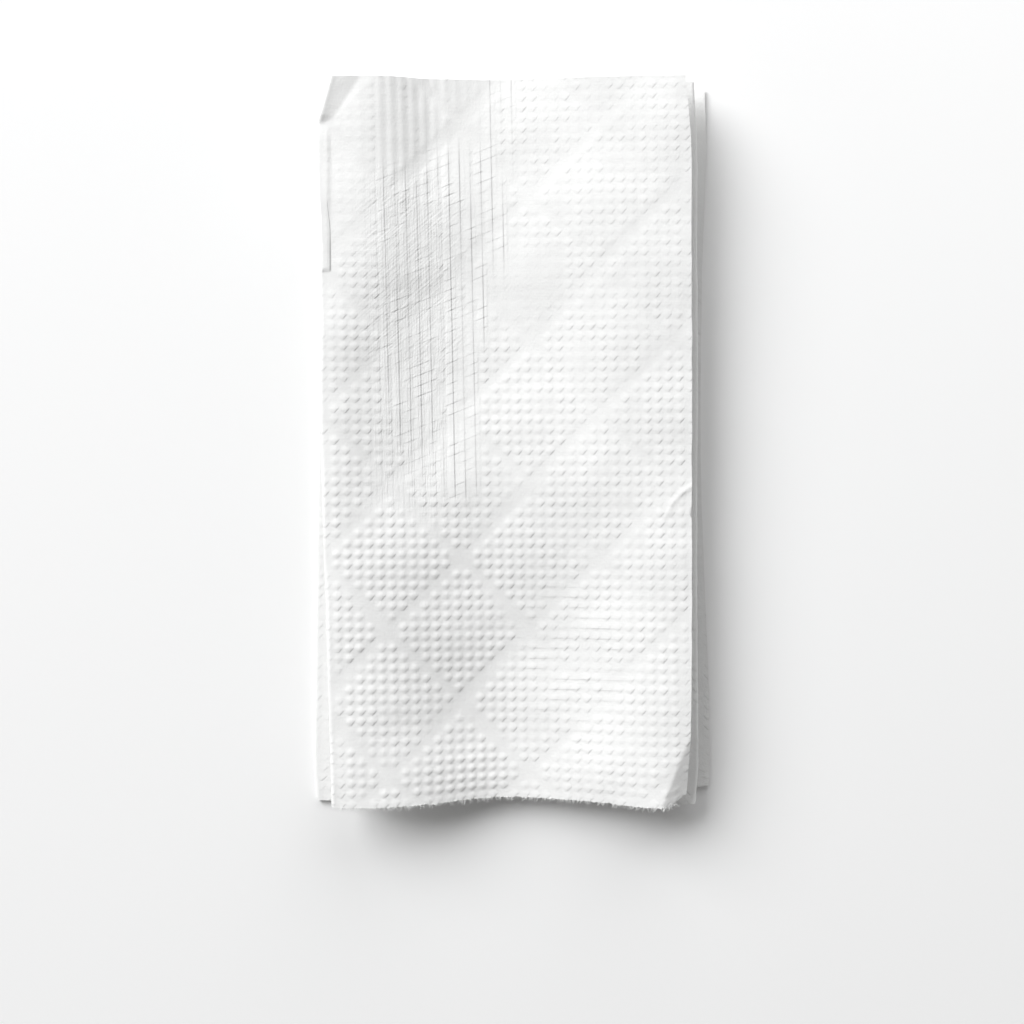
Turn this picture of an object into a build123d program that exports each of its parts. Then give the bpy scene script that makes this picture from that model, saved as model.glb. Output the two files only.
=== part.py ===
"""An interfolded paper towel: one embossed sheet, folded zigzag into four panels, as it lies on a table.

+Z is up, +Y runs along the folds, and +X points to the top panel's free edge.
The origin is on the table, at the centre of the folded towel's footprint.
"""

import os
from math import atan2, degrees, hypot

from build123d import *

# Sheet
towel_length = 211.0 * MM  # along the folds, from cut end to cut end
sheet_thickness = 0.5 * MM  # both plies, where nothing is embossed
fold_bend_radius = 0.35 * MM  # inside the folds
resting_depth = 0.1 * MM  # how much of the underside is pressed flat on the table

# How far the folds and free edges lie from the centre line
top_free_edge_reach = 51.8 * MM
upper_fold_reach = 56.6 * MM
right_fold_reach = 54.5 * MM
lower_fold_reach = 58.6 * MM
bottom_free_edge_reach = 58.6 * MM

# Heights of the waves, at the middle of the sheet
top_wave_height = 16.0 * MM
second_wave_height = 11.0 * MM
third_wave_height = 7.1 * MM
bottom_edge_lift = 0.9 * MM

# Quilting on the top panel
diamond_width = 40.6 * MM  # from point to point across the folds
diamond_length = 42.1 * MM  # from point to point along the folds
wide_band_width = 4.3 * MM  # plain, between two diamonds
narrow_band_width = 3.1 * MM  # plain, in the other direction
side_margin_width = 2.8 * MM  # plain, along the fold and the free edge
quilting_height = 0.2 * MM  # how far the diamonds stand above the bands
lattice_shift_across = 5.1 * MM
lattice_shift_along = 8.8 * MM

# Cut ends and corners
front_end_hollow = 2.0 * MM  # how far the cut end draws back at the valley
skewed_end_depth = 4.4 * MM  # how far the bottom panel's front end draws back at its free edge
snipped_corner_size = 2.4 * MM
bent_corner_width = 7.6 * MM
bent_corner_length = 4.0 * MM

cutter_overrun = 3.0 * MM

# Where the cross-sections stand, from the front end to the back end
station_shares = (0, 0.05, 0.105, 0.265, 0.455, 0.64, 0.805, 0.932, 1)

# Each line's reach at the stations
top_free_edge_shares = (0.985, 0.99, 0.994, 1, 1, 1, 0.996, 0.988, 0.962)
upper_fold_shares = (0.922, 0.926, 0.932, 0.95, 0.975, 0.98, 0.985, 1, 0.935)
right_fold_shares = (0.985, 0.998, 1, 0.995, 0.995, 0.998, 0.993, 0.99, 0.975)
lower_fold_shares = (0.99, 1, 1, 0.993, 0.985, 0.978, 0.972, 0.97, 0.97)
bottom_free_edge_shares = (0.995, 1, 1, 0.982, 0.958, 0.957, 0.97, 0.982, 0.975)

# Where the points of a panel's section lie, from its left edge to its right edge
across_shares = (0, 0.045, 0.11, 0.24, 0.37, 0.49, 0.61, 0.73, 0.85, 0.94, 1)

# The top panel: a row for each station, with two waves and the valley between them,
# a bent-down corner at the front right and a lifted corner at the back left
top_wave_shares = (
    (0.88, 0.92, 0.93, 0.82, 0.53, 0.36, 0.39, 0.55, 0.80, 0.88, 0.74),
    (0.90, 0.93, 0.92, 0.78, 0.48, 0.33, 0.38, 0.57, 0.82, 0.94, 0.86),
    (0.91, 0.92, 0.89, 0.71, 0.43, 0.30, 0.37, 0.57, 0.83, 0.95, 0.95),
    (0.89, 0.89, 0.85, 0.67, 0.45, 0.38, 0.43, 0.59, 0.84, 0.94, 0.96),
    (0.84, 0.83, 0.75, 0.62, 0.58, 0.60, 0.67, 0.77, 0.86, 0.91, 0.94),
    (0.86, 0.87, 0.82, 0.66, 0.56, 0.60, 0.69, 0.83, 0.94, 0.96, 0.97),
    (0.89, 0.91, 0.93, 0.78, 0.65, 0.65, 0.76, 0.92, 0.99, 1.00, 1.01),
    (0.91, 0.93, 0.97, 0.81, 0.64, 0.65, 0.76, 0.88, 0.97, 1.02, 1.03),
    (1.16, 1.10, 1.04, 0.80, 0.65, 0.64, 0.74, 0.88, 0.98, 1.01, 1.04),
)

# How much of the quilting's height the top panel has at the same points and at the stations
quilting_across_shares = (0, 1, 1, 1, 1, 1, 1, 1, 1, 1, 0)
quilting_along_shares = (0.3, 1, 1, 1, 1, 1, 1, 1, 1)

# The second panel, whose left edge follows from the fold above it
second_wave_shares = (
    (1.12, 1.02, 0.76, 0.47, 0.35, 0.40, 0.58, 0.79, 0.78, 0.74),
    (1.12, 1.01, 0.74, 0.44, 0.32, 0.38, 0.58, 0.80, 0.80, 0.75),
    (1.14, 1.00, 0.71, 0.42, 0.30, 0.37, 0.59, 0.82, 0.83, 0.76),
    (1.12, 0.97, 0.70, 0.45, 0.37, 0.42, 0.62, 0.85, 0.86, 0.76),
    (1.07, 0.92, 0.68, 0.54, 0.52, 0.58, 0.73, 0.88, 0.86, 0.76),
    (1.10, 0.98, 0.70, 0.53, 0.53, 0.63, 0.80, 0.90, 0.88, 0.78),
    (1.14, 1.03, 0.76, 0.58, 0.56, 0.66, 0.83, 0.94, 0.92, 0.80),
    (1.16, 1.05, 0.76, 0.57, 0.55, 0.65, 0.83, 0.96, 0.94, 0.82),
    (1.45, 1.18, 0.75, 0.56, 0.55, 0.64, 0.82, 0.96, 0.95, 0.82),
)

# The third panel, whose left and right edges follow from the folds below and above it
third_wave_shares = (
    (0.24, 0.33, 0.41, 0.36, 0.30, 0.37, 0.60, 0.88, 0.97),
    (0.24, 0.33, 0.40, 0.34, 0.28, 0.36, 0.60, 0.88, 0.98),
    (0.24, 0.33, 0.39, 0.33, 0.27, 0.35, 0.60, 0.89, 0.99),
    (0.25, 0.35, 0.42, 0.37, 0.33, 0.41, 0.63, 0.90, 1.00),
    (0.26, 0.38, 0.48, 0.46, 0.46, 0.53, 0.69, 0.91, 1.00),
    (0.27, 0.40, 0.50, 0.48, 0.48, 0.56, 0.72, 0.93, 1.02),
    (0.28, 0.42, 0.52, 0.48, 0.47, 0.55, 0.74, 0.95, 1.04),
    (0.29, 0.43, 0.52, 0.48, 0.46, 0.54, 0.74, 0.96, 1.06),
    (0.29, 0.43, 0.52, 0.48, 0.46, 0.54, 0.74, 0.96, 1.06),
)

# The bottom panel: flat, but for its free edge
bottom_across_lift_shares = (0, 0, 0, 0, 0, 0, 0, 0, 0.1, 0.5, 1)
bottom_lift_shares = (1, 0.9, 0.7, 0.4, 0.3, 0.4, 0.6, 0.8, 0.9)

# The front cut end: how far across the towel, and how far it draws back there
front_across_shares = (-1.2, -0.9, -0.7, -0.5, -0.3, -0.06, 0.15, 0.35, 0.5, 0.6, 0.75, 0.95, 1.2)
front_depth_shares = (0.3, 0.1, 0.1, 0.3, 0.65, 1, 0.8, 0.6, 0.35, 0.12, 0.1, 0.9, 1.2)
skew_start_share = -0.35  # where the bottom panel's skewed end starts, from the middle

fold_spacing = 2 * fold_bend_radius + sheet_thickness
fold_outer_radius = fold_bend_radius + sheet_thickness
bottom_height = sheet_thickness / 2 - resting_depth
front_end = -towel_length / 2
half_width = max(lower_fold_reach, bottom_free_edge_reach)
cutter_height = 2 * top_wave_height


def station_position(station):
    """Where a cross-section stands along +Y."""
    return front_end + station_shares[station] * towel_length


def panel_points(left, right, heights):
    """The middle of one panel in one cross-section, from its left edge to its right edge."""
    width = right - left
    return [Vector(left + share * width, height) for share, height in zip(across_shares, heights)]


def panels_at(station):
    """The middles of the four panels in one cross-section, from the top panel down."""
    upper_fold = fold_outer_radius - upper_fold_reach * upper_fold_shares[station]
    lower_fold = fold_outer_radius - lower_fold_reach * lower_fold_shares[station]
    right_fold = right_fold_reach * right_fold_shares[station] - fold_outer_radius
    top_edge = top_free_edge_reach * top_free_edge_shares[station]
    bottom_edge = bottom_free_edge_reach * bottom_free_edge_shares[station]

    top = [top_wave_height * share for share in top_wave_shares[station]]
    second = [second_wave_height * share for share in second_wave_shares[station]]
    second = [top[0] - fold_spacing] + second
    third = [third_wave_height * share for share in third_wave_shares[station]]
    third = [bottom_height + fold_spacing] + third + [second[-1] - fold_spacing]
    lift = bottom_edge_lift * bottom_lift_shares[station]
    bottom = [bottom_height + lift * share for share in bottom_across_lift_shares]
    return (
        panel_points(upper_fold, top_edge, top),
        panel_points(upper_fold, right_fold, second),
        panel_points(lower_fold, right_fold, third),
        panel_points(lower_fold, bottom_edge, bottom),
    )


def moved_off(middle, distances):
    """A panel's middle line, moved square to itself, upwards where a distance is positive."""
    moved = [middle[0] + Vector(0, distances[0])]
    for i in range(1, len(middle) - 1):
        run = middle[i + 1].X - middle[i - 1].X
        rise = middle[i + 1].Y - middle[i - 1].Y
        moved.append(middle[i] + Vector(-rise, run) * (distances[i] / hypot(run, rise)))
    return moved + [middle[-1] + Vector(0, distances[-1])]


def wave(points, free_right_end):
    """One face of a panel, level where it runs into a fold."""
    level = Vector(points[-1].X - points[0].X, 0)
    last_run = (points[-1] - points[-2]) / (across_shares[-1] - across_shares[-2])
    tangents = [level, last_run if free_right_end else level]
    add(Edge.make_spline(points, tangents=tangents, parameters=across_shares, scale=False))


def fold_arc(start, end, outward):
    """One face of a fold: a half circle that bulges to the left (-1) or to the right (1)."""
    radius = abs(start.Y - end.Y) / 2
    ThreePointArc(start, (start + end) / 2 + Vector(outward * radius, 0), end)


def sheet_section(station):
    """The folded sheet's closed outline in one cross-section."""
    top, second, third, bottom = panels_at(station)
    up = [sheet_thickness / 2] * len(across_shares)
    down = [-sheet_thickness / 2] * len(across_shares)
    quilting = quilting_height * quilting_along_shares[station]
    top_up = moved_off(top, [up[0] + quilting * share for share in quilting_across_shares])
    top_down = moved_off(top, down)
    second_up, second_down = moved_off(second, up), moved_off(second, down)
    third_up, third_down = moved_off(third, up), moved_off(third, down)
    bottom_up, bottom_down = moved_off(bottom, up), moved_off(bottom, down)

    wave(top_up, free_right_end=True)
    fold_arc(top_up[0], second_down[0], -1)
    wave(second_down, free_right_end=False)
    fold_arc(second_down[-1], third_up[-1], 1)
    wave(third_up, free_right_end=False)
    fold_arc(third_up[0], bottom_down[0], -1)
    wave(bottom_down, free_right_end=True)
    Line(bottom_down[-1], bottom_up[-1])
    wave(bottom_up, free_right_end=True)
    fold_arc(bottom_up[0], third_down[0], -1)
    wave(third_down, free_right_end=False)
    fold_arc(third_down[-1], second_up[-1], 1)
    wave(second_up, free_right_end=False)
    fold_arc(second_up[0], top_down[0], -1)
    wave(top_down, free_right_end=True)
    Line(top_down[-1], top_up[-1])


def pressing_section(station):
    """The layer above the plain sheet's top face, in which the bands are pressed."""
    top = panels_at(station)[0]
    floor = [sheet_thickness / 2] * len(across_shares)
    ceiling = [sheet_thickness / 2 + 2 * quilting_height] * len(across_shares)
    above, below = moved_off(top, ceiling), moved_off(top, floor)
    wave(above, free_right_end=True)
    wave(below, free_right_end=True)
    Line(above[0], below[0])
    Line(above[-1], below[-1])


def plain_bands():
    """The plain bands of the quilting in plan: two sets of parallel strips that cross."""
    slant = degrees(atan2(diamond_length, diamond_width))
    count = int(2 * towel_length / diamond_length)
    length = 2 * (towel_length + diamond_length)
    for strip in range(-count, count + 1):
        middle = lattice_shift_across + (strip + 0.5) * diamond_width
        with Locations((middle, lattice_shift_along)):
            Rectangle(length, wide_band_width, rotation=slant)
            Rectangle(length, narrow_band_width, rotation=-slant)


def margin_line(reach, shares, inset):
    """A side of the quilted area: a fold or free edge in plan, moved in by a plain margin."""
    return [(reach * share + inset, station_position(i)) for i, share in enumerate(shares)]


# The bands that are pressed into the top panel, so that the diamonds between them stand up
stations = range(len(station_shares))
with BuildPart() as pressed_bands:
    for station in stations:
        with BuildSketch(Plane.XZ.offset(-station_position(station))):
            with BuildLine():
                pressing_section(station)
            make_face()
    loft()
    with BuildSketch():
        plain_bands()
        with BuildLine():
            left = Spline(margin_line(-upper_fold_reach, upper_fold_shares, side_margin_width))
            right = Spline(margin_line(top_free_edge_reach, top_free_edge_shares, -side_margin_width))
            Line(left @ 1, right @ 1)
            Line(left @ 0, right @ 0)
        make_face(mode=Mode.INTERSECT)
    extrude(amount=cutter_height, mode=Mode.INTERSECT)

# The sheet
with BuildPart() as folded_towel:
    for station in stations:
        with BuildSketch(Plane.XZ.offset(-station_position(station))):
            with BuildLine():
                sheet_section(station)
            make_face()
    loft()
    add(pressed_bands.part, mode=Mode.SUBTRACT)
    split(bisect_by=Plane.XY, keep=Keep.TOP)

    # Front cut end, drawn back at the valley
    ahead = front_end - cutter_overrun
    cut_line = [
        (half_width * across, front_end + front_end_hollow * depth)
        for across, depth in zip(front_across_shares, front_depth_shares)
    ]
    with BuildSketch(Plane.XY.offset(-cutter_overrun)):
        with BuildLine():
            cut_end = Spline(cut_line)
            Polyline(cut_end @ 0, ((cut_end @ 0).X, ahead), ((cut_end @ 1).X, ahead), cut_end @ 1)
        make_face()
    extrude(amount=cutter_height + cutter_overrun, mode=Mode.SUBTRACT)

    # Bottom panel: skewed front end, and a snipped corner at the fold
    skew_start = half_width * skew_start_share
    skew_end = half_width + cutter_overrun
    snip_start = -half_width - cutter_overrun
    snip_end = snipped_corner_size / 2 - half_width
    with BuildSketch(Plane.XY.offset(-cutter_overrun)):
        with BuildLine():
            Polyline(
                (skew_start, ahead),
                (skew_start, front_end),
                (skew_end, front_end + skewed_end_depth),
                (skew_end, ahead),
                close=True,
            )
        make_face()
        with BuildLine():
            Polyline(
                (snip_start, front_end + snipped_corner_size + 2 * cutter_overrun),
                (snip_end, front_end),
                (snip_end, ahead),
                (snip_start, ahead),
                close=True,
            )
        make_face()
    low_cutter_top = bottom_height + bottom_edge_lift + fold_bend_radius + sheet_thickness
    extrude(amount=low_cutter_top + cutter_overrun, mode=Mode.SUBTRACT)

    # Top panel: the torn tip of the bent-down corner
    top_panel, second_panel = panels_at(0)[:2]
    corner = top_panel[-1]
    tip_floor = (corner.Y + second_panel[-2].Y) / 2
    with BuildSketch(Plane.XY.offset(tip_floor)):
        with BuildLine():
            Polyline(
                (corner.X - bent_corner_width - cutter_overrun, ahead),
                (corner.X - bent_corner_width, front_end),
                (corner.X, front_end + bent_corner_length),
                (corner.X + cutter_overrun, front_end + bent_corner_length + cutter_overrun),
                (corner.X + cutter_overrun, ahead),
                close=True,
            )
        make_face()
    extrude(amount=cutter_height, mode=Mode.SUBTRACT)

folded_towel.part.label = "folded_towel"
os.makedirs("parts", exist_ok=True)
export_step(folded_towel.part, "parts/folded_towel.step")
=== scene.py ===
"""An interfolded paper towel: the embossed sheet, its paper, the table, the light and the camera."""

import random
from math import atan2, cos, hypot, pi, radians, sin

import bpy
import numpy as np
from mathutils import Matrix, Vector, noise


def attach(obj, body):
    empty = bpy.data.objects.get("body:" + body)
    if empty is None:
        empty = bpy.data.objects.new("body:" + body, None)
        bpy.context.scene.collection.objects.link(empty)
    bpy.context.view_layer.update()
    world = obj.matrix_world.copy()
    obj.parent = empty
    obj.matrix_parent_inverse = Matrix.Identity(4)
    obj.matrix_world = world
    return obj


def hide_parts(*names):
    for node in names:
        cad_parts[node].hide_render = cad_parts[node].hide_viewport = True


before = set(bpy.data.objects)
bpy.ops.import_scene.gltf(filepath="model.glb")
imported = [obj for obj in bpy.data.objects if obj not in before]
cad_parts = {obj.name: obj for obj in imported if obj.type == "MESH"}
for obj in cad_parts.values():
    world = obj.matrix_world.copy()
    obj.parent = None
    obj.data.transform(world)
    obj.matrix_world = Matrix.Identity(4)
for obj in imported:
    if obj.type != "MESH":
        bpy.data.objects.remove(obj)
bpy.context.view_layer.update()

MM = 0.001

# Sizes of the towel are in millimetres, across it from its centre line and along it from its middle

# Sheet
towel_length = 211.0
sheet_thickness = 0.5
fold_bend_radius = 0.35
resting_depth = 0.1
ply_gap_depth = 0.25

# How far the folds and free edges lie from the centre line
top_free_edge_reach = 51.8
upper_fold_reach = 56.6
right_fold_reach = 54.5
lower_fold_reach = 58.6
bottom_free_edge_reach = 58.6

# Heights of the waves
top_wave_height = 16.0
second_wave_height = 11.0
third_wave_height = 7.1
bottom_edge_lift = 0.9

# Quilting
diamond_width = 40.6
diamond_length = 42.1
wide_band = 4.3
narrow_band = 3.1
band_edge_width = 2.2
side_margin_width = 2.8
quilting_height = 0.06
puff_height = 0.4
lattice_shift_across = 5.1
lattice_shift_along = 8.8

# The two sets of bands: which way each slants, its width, how far the dots reach into it,
# and how much farther they do on the right side of the towel
bands = ((-1, wide_band, 1.2, 0.5), (1, narrow_band, 0.6, 1.1))
right_side_start = 14.0

# Unevenness of the embossing
emboss_level = 0.85
emboss_unevenness = 0.55
emboss_patch = 24.0

# The embossing is flattened near the front end
front_relief_share = 0.3
front_relief_length = 6.0

# Embossed dots
dot_pitch_across = 3.12
dot_pitch_along = 3.01
dot_shift_across = 1.56
dot_shift_along = 1.10
column_lean = 0.02
dot_radius = 1.47
dot_height = 0.25
dot_lean = 0.5
dot_steep_side = (0.75, 0.66)  # towards the right and towards the front
dot_margin_reach = 1.0
dot_strength_sides = ((-54, 1.0), (-40, 1.0), (-8, 1.0), (6, 0.55), (22, 0.42), (54, 0.6))
dot_strength_ends = ((-106, 1.15), (-24, 1.0), (-6, 0.72), (20, 0.6), (60, 0.38), (106, 0.3))
dots_lost_to_ribs = 0.8

# Oval zones: the middle across and along, the half sizes across and along, and how sharply each ends.
# Faint lines join the dots of a row on the front right, and dots are worn faint behind the middle.
row_line_zone = (17.0, -62.0, 24.0, 34.0, 1.5)
row_line_flattening = 0.45
faint_zone = (2.0, 46.0, 17.0, 19.0, 1.6)
faint_share = 0.75

# Columns drawn out into ribs at the back of the valley: the zone's left and right side along the sheet
rib_height = 0.2
rib_zone_along = (-45.0, -25.0, -5.0, 20.0, 50.0, 75.0, 105.5)
rib_zone_left = (-10.0, -20.0, -36.0, -39.0, -40.0, -40.5, -41.0)
rib_zone_right = (-8.0, -7.0, -9.0, -8.0, -3.0, 1.0, 2.0)
rib_zone_front = -20.0
rib_zone_fade = 8.0
rib_zone_side_fade = 3.0
rib_end_wander = 16.0
rib_end_patch = 1.7

# How sharply ribs are creased: the usual strength, its unevenness, the least, and the patches of it
rib_crease_level = 0.7
rib_crease_unevenness = 1.3
rib_crease_least = 0.1
rib_crease_length = 26.0
rib_patch = 1.3

# A rib's profile in shares of its width, and what the broad ribs at the back left add to it
rib_crest_place = -0.08
rib_flank_width = 0.26
rib_level = 0.3
broad_crest_shift = -0.1
broad_flank_width = 0.36
broad_level = 0.75
broad_unevenness = 0.6
broad_rib_side = -24.0
broad_rib_side_fade = 10.0
broad_rib_start = 66.0
broad_rib_start_fade = 16.0

# A loose strip of the upper ply along the fold at the back left, raised and torn at its front end
loose_strip_side = -52.4
loose_strip_start = 49.5
loose_strip_gap_end = 70.5
loose_strip_end = 93.0
loose_strip_height = 0.36
loose_strip_edge = 0.7
loose_strip_fade = 6.0

# A soft crease at the foot of the slope at the back left
crease_side = -24.2
crease_depth = 0.45
crease_width = 9.5
crease_rise_width = 6.5
crease_start = 62.0
crease_fade = 14.0

# A wrinkle that runs in from the free edge, and the nick where it starts
wrinkle = ((51.9, -12.4), (43.6, -23.4))
wrinkle_height = 0.26
wrinkle_width = 0.6
wrinkle_bow = 1.4
nick_along = -20.2
nick_depth = 0.6
nick_width = 1.1
nick_reach = 5.0

# Cut ends
front_end_hollow = 2.0
skewed_end_depth = 4.4
skewed_end_start = -20.5
snipped_corner_size = 2.4
torn_tip_width = 7.6
torn_tip_length = 4.0
end_fade = 25.0
ragged_depth = 0.42
tooth_widths = (0.9, 2.7)
wide_tooth_share = 0.8
clean_cut_depth = 0.08
clean_cut_wave = 1.6

# The fold draws in at the lifted corner
corner_draw = 3.2
corner_draw_start = 90.5

# Unevenness of the surface and of the folds and free edges
dent_depth = 0.2
dent_size = 17.0
small_dent_share = 0.4
edge_wander = 0.16
edge_wander_length = 7.0

# Loose fibres, from a few columns off the fold to near the free edge
fibre_first_column = 4
fibre_last_share = 0.93
fibre_count = 420
fibre_lengths = (0.5, 1.7)
fibre_width = 0.15
fibre_taper = 0.7
fibre_root_depth = 0.2
fibre_root_heights = (0.0, 0.3)
fibre_heading_spread = 0.7
fibre_curls = (-1.4, 1.4)
fibre_rises = (-0.2, 0.5)
fibre_steps = 4
fibre_seed = 7

# Spacing of the mesh
fine_spacing = 0.56
plain_panel_columns = 26
fold_steps = 6
end_rows = 36
end_row_step = 2
middle_row_step = 5
smooth_angle = 50.0

# Where the cross-sections stand, from the front end to the back end, and each line's reach there
station_shares = (0, 0.05, 0.105, 0.265, 0.455, 0.64, 0.805, 0.932, 1)
top_free_edge_shares = (0.985, 0.99, 0.994, 1, 1, 1, 0.996, 0.988, 0.962)
upper_fold_shares = (0.922, 0.926, 0.932, 0.95, 0.975, 0.98, 0.985, 1, 0.985)
right_fold_shares = (0.985, 0.998, 1, 0.995, 0.995, 0.998, 0.993, 0.99, 0.975)
lower_fold_shares = (0.99, 1, 1, 0.993, 0.985, 0.978, 0.972, 0.97, 0.97)
bottom_free_edge_shares = (0.995, 1, 1, 0.982, 0.958, 0.957, 0.97, 0.982, 0.975)

# Heights of the panels: a row for each cross-section, with a value for each share across the panel.
# The second panel's left edge, and both edges of the third, follow from the folds.
across_shares = (0, 0.045, 0.11, 0.24, 0.37, 0.49, 0.61, 0.73, 0.85, 0.94, 1)
top_wave_shares = (
    (0.88, 0.92, 0.93, 0.82, 0.53, 0.36, 0.39, 0.55, 0.80, 0.94, 0.95),
    (0.90, 0.93, 0.92, 0.78, 0.48, 0.33, 0.38, 0.57, 0.82, 0.95, 0.96),
    (0.91, 0.92, 0.89, 0.71, 0.43, 0.30, 0.37, 0.57, 0.83, 0.95, 0.97),
    (0.89, 0.89, 0.85, 0.67, 0.45, 0.38, 0.43, 0.59, 0.84, 0.94, 0.96),
    (0.84, 0.83, 0.75, 0.62, 0.57, 0.59, 0.68, 0.80, 0.88, 0.92, 0.94),
    (0.86, 0.87, 0.82, 0.66, 0.56, 0.60, 0.69, 0.83, 0.94, 0.96, 0.97),
    (0.89, 0.91, 0.93, 0.80, 0.68, 0.68, 0.79, 0.93, 0.99, 1.00, 1.01),
    (0.90, 0.92, 0.97, 0.85, 0.70, 0.70, 0.79, 0.90, 0.97, 1.02, 1.03),
    (0.91, 0.97, 1.02, 0.85, 0.72, 0.71, 0.79, 0.91, 0.98, 1.01, 1.04),
)
second_wave_shares = (
    (1.12, 1.02, 0.76, 0.47, 0.35, 0.40, 0.58, 0.79, 0.78, 0.74),
    (1.12, 1.01, 0.74, 0.44, 0.32, 0.38, 0.58, 0.80, 0.80, 0.75),
    (1.14, 1.00, 0.71, 0.42, 0.30, 0.37, 0.59, 0.82, 0.83, 0.76),
    (1.12, 0.97, 0.70, 0.45, 0.37, 0.42, 0.62, 0.85, 0.86, 0.76),
    (1.07, 0.92, 0.68, 0.54, 0.52, 0.58, 0.73, 0.88, 0.86, 0.76),
    (1.10, 0.98, 0.70, 0.53, 0.53, 0.63, 0.80, 0.90, 0.88, 0.78),
    (1.14, 1.03, 0.76, 0.58, 0.56, 0.66, 0.83, 0.94, 0.92, 0.80),
    (1.16, 1.05, 0.76, 0.57, 0.55, 0.65, 0.83, 0.96, 0.94, 0.82),
    (1.19, 1.06, 0.75, 0.56, 0.55, 0.64, 0.82, 0.96, 0.95, 0.82),
)
third_wave_shares = (
    (0.24, 0.33, 0.41, 0.36, 0.30, 0.37, 0.60, 0.88, 0.97),
    (0.24, 0.33, 0.40, 0.34, 0.28, 0.36, 0.60, 0.88, 0.98),
    (0.24, 0.33, 0.39, 0.33, 0.27, 0.35, 0.60, 0.89, 0.99),
    (0.25, 0.35, 0.42, 0.37, 0.33, 0.41, 0.63, 0.90, 1.00),
    (0.26, 0.38, 0.48, 0.46, 0.46, 0.53, 0.69, 0.91, 1.00),
    (0.27, 0.40, 0.50, 0.48, 0.48, 0.56, 0.72, 0.93, 1.02),
    (0.28, 0.42, 0.52, 0.48, 0.47, 0.55, 0.74, 0.95, 1.04),
    (0.29, 0.43, 0.52, 0.48, 0.46, 0.54, 0.74, 0.96, 1.06),
    (0.29, 0.43, 0.52, 0.48, 0.46, 0.54, 0.74, 0.96, 1.06),
)
bottom_across_lift_shares = (0, 0, 0, 0, 0, 0, 0, 0, 0.1, 0.5, 1)
bottom_lift_shares = (1, 0.9, 0.7, 0.4, 0.3, 0.4, 0.6, 0.8, 0.9)

# The front cut end: how far across the towel, and how far it draws back there
front_across_shares = (-1.2, -0.9, -0.7, -0.5, -0.3, -0.06, 0.15, 0.35, 0.5, 0.6, 0.75, 0.95, 1.2)
front_depth_shares = (0.3, 0.1, 0.1, 0.3, 0.65, 1, 0.8, 0.6, 0.35, 0.12, 0.1, 0.1, 0.1)

# Corners: where the crease starts and ends, how steeply the corner beyond it turns, and its bend.
# A short tear across the fold lets the lifted corner go: where it starts, and over what length it gapes.
lifted_corner = ((-43.4, 105.6), (-51.9, 92.4), 17.0, 1.6, 91.4, 3.4)
bent_corner = ((42.7, -105.6), (51.35, -84.2), -25.0, 1.0)

# Zones of the finest marks: where each side fades in, from nothing to full, across and then along
plain_back_zone = (((-22.0, -26.0),), ((72.0, 84.0),))
smooth_back_zone = (((-27.0, -23.0), (-6.5, -9.5)), ((80.0, 90.0),))
smooth_left_zone = (((-34.0, -44.0),), ((40.0, 70.0),))
crushed_zone = (((-14.0, -22.0), (-46.0, -36.0)), ((-30.0, -12.0), (86.0, 70.0)))
hatched_zone = (((-8.0, -22.0), (-50.0, -38.0)), ((8.0, 30.0), (84.0, 72.0)))
back_right_zone = (((-6.0, 10.0),), ((15.0, 45.0),))

# A dot's mark: how it ends at the foot of the steep side, fades to the crest and ends at both sides
mark_foot = (1.3, 0.95)
mark_top = (-1.7, 0.9)
mark_sides = (1.5, 0.4)
mark_strengths = (0.22, 0.7)
mark_rib_fade = (0.6, 0.05)
back_right_loss = 0.22

# Drops at the ribs, between them, along the slanting folds and at the foot of a row:
# the place of each and its width, in shares of a dot's pitch
rib_drop = (0.16, 0.12)
half_rib_drop = (-0.25, 0.2)
half_rib_share = 0.22
fold_slant = 0.42
fold_drop_width = 0.12
fold_breaks = (0.4, 0.6)
crushed_fold_share = 0.3
row_drop = (-0.34, 0.14)
row_line_breaks = (0.4, 0.66)

# Hatching
hatch_turn = 48.0
slanting_hatch_share = 0.9

# Patterns: scale (per millimetre of the sheet, or per metre of the table), detail, roughness and stretch
fibre_pattern = (1.6, 5.0, 0.65, (1.0, 0.6, 0))
crepe_pattern = (1.0, 2.0, 0.5, (0.22, 2.6, 0))
mottle_pattern = (0.12, 4.0, 0.6)
mark_pattern = (0.43, 1.0)
fold_pattern = (0.16, 1.0)
row_line_pattern = (0.12, 2.0)
hatch_pattern = (2.6, 1.0, 0.5, (1.0, 0.1, 0))
slanting_hatch_pattern = (1.7, 1.0, 0.5, (1.0, 0.08, 0))
table_pattern = (60.0, 3.0)

# Depths of the marks in the surface
fibre_mark_depth = 0.10
hatch_depth = 0.12
rib_mark_depth = 0.18
fold_mark_depth = 0.08
crepe_depth = 0.03
dot_mark_depth = 0.11
row_line_depth = 0.08

# Colours and finish
paper_shade = (0.905, 0.905, 0.898, 1)
paper_white = (0.95, 0.951, 0.945, 1)
paper_fibre_share = 0.4
paper_mottle_share = 0.6
paper_roughness = 0.92
paper_gloss = 0.2
# Painted shadow in the gap beside the loose strip: its dark colour, how strongly it is mixed in, and the
# shape of the gap it fills
gap_shadow_colour = (0.1, 0.1, 0.1, 1)
gap_shadow_strength = 0.5
gap_bow = 0.8
gap_bow_length = 10.0
gap_half_width = 0.1
gap_widening = 0.26
gap_start_fade = (-0.3, 0.6)
gap_end_fade = 2.0
gap_side_fade = (1.0, 0.3)
table_shade = (0.92, 0.92, 0.915, 1)
table_light = (0.935, 0.935, 0.93, 1)
table_seen = (0.995, 0.995, 0.995, 1)
table_roughness = 0.9
table_gloss = 0.1

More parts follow.
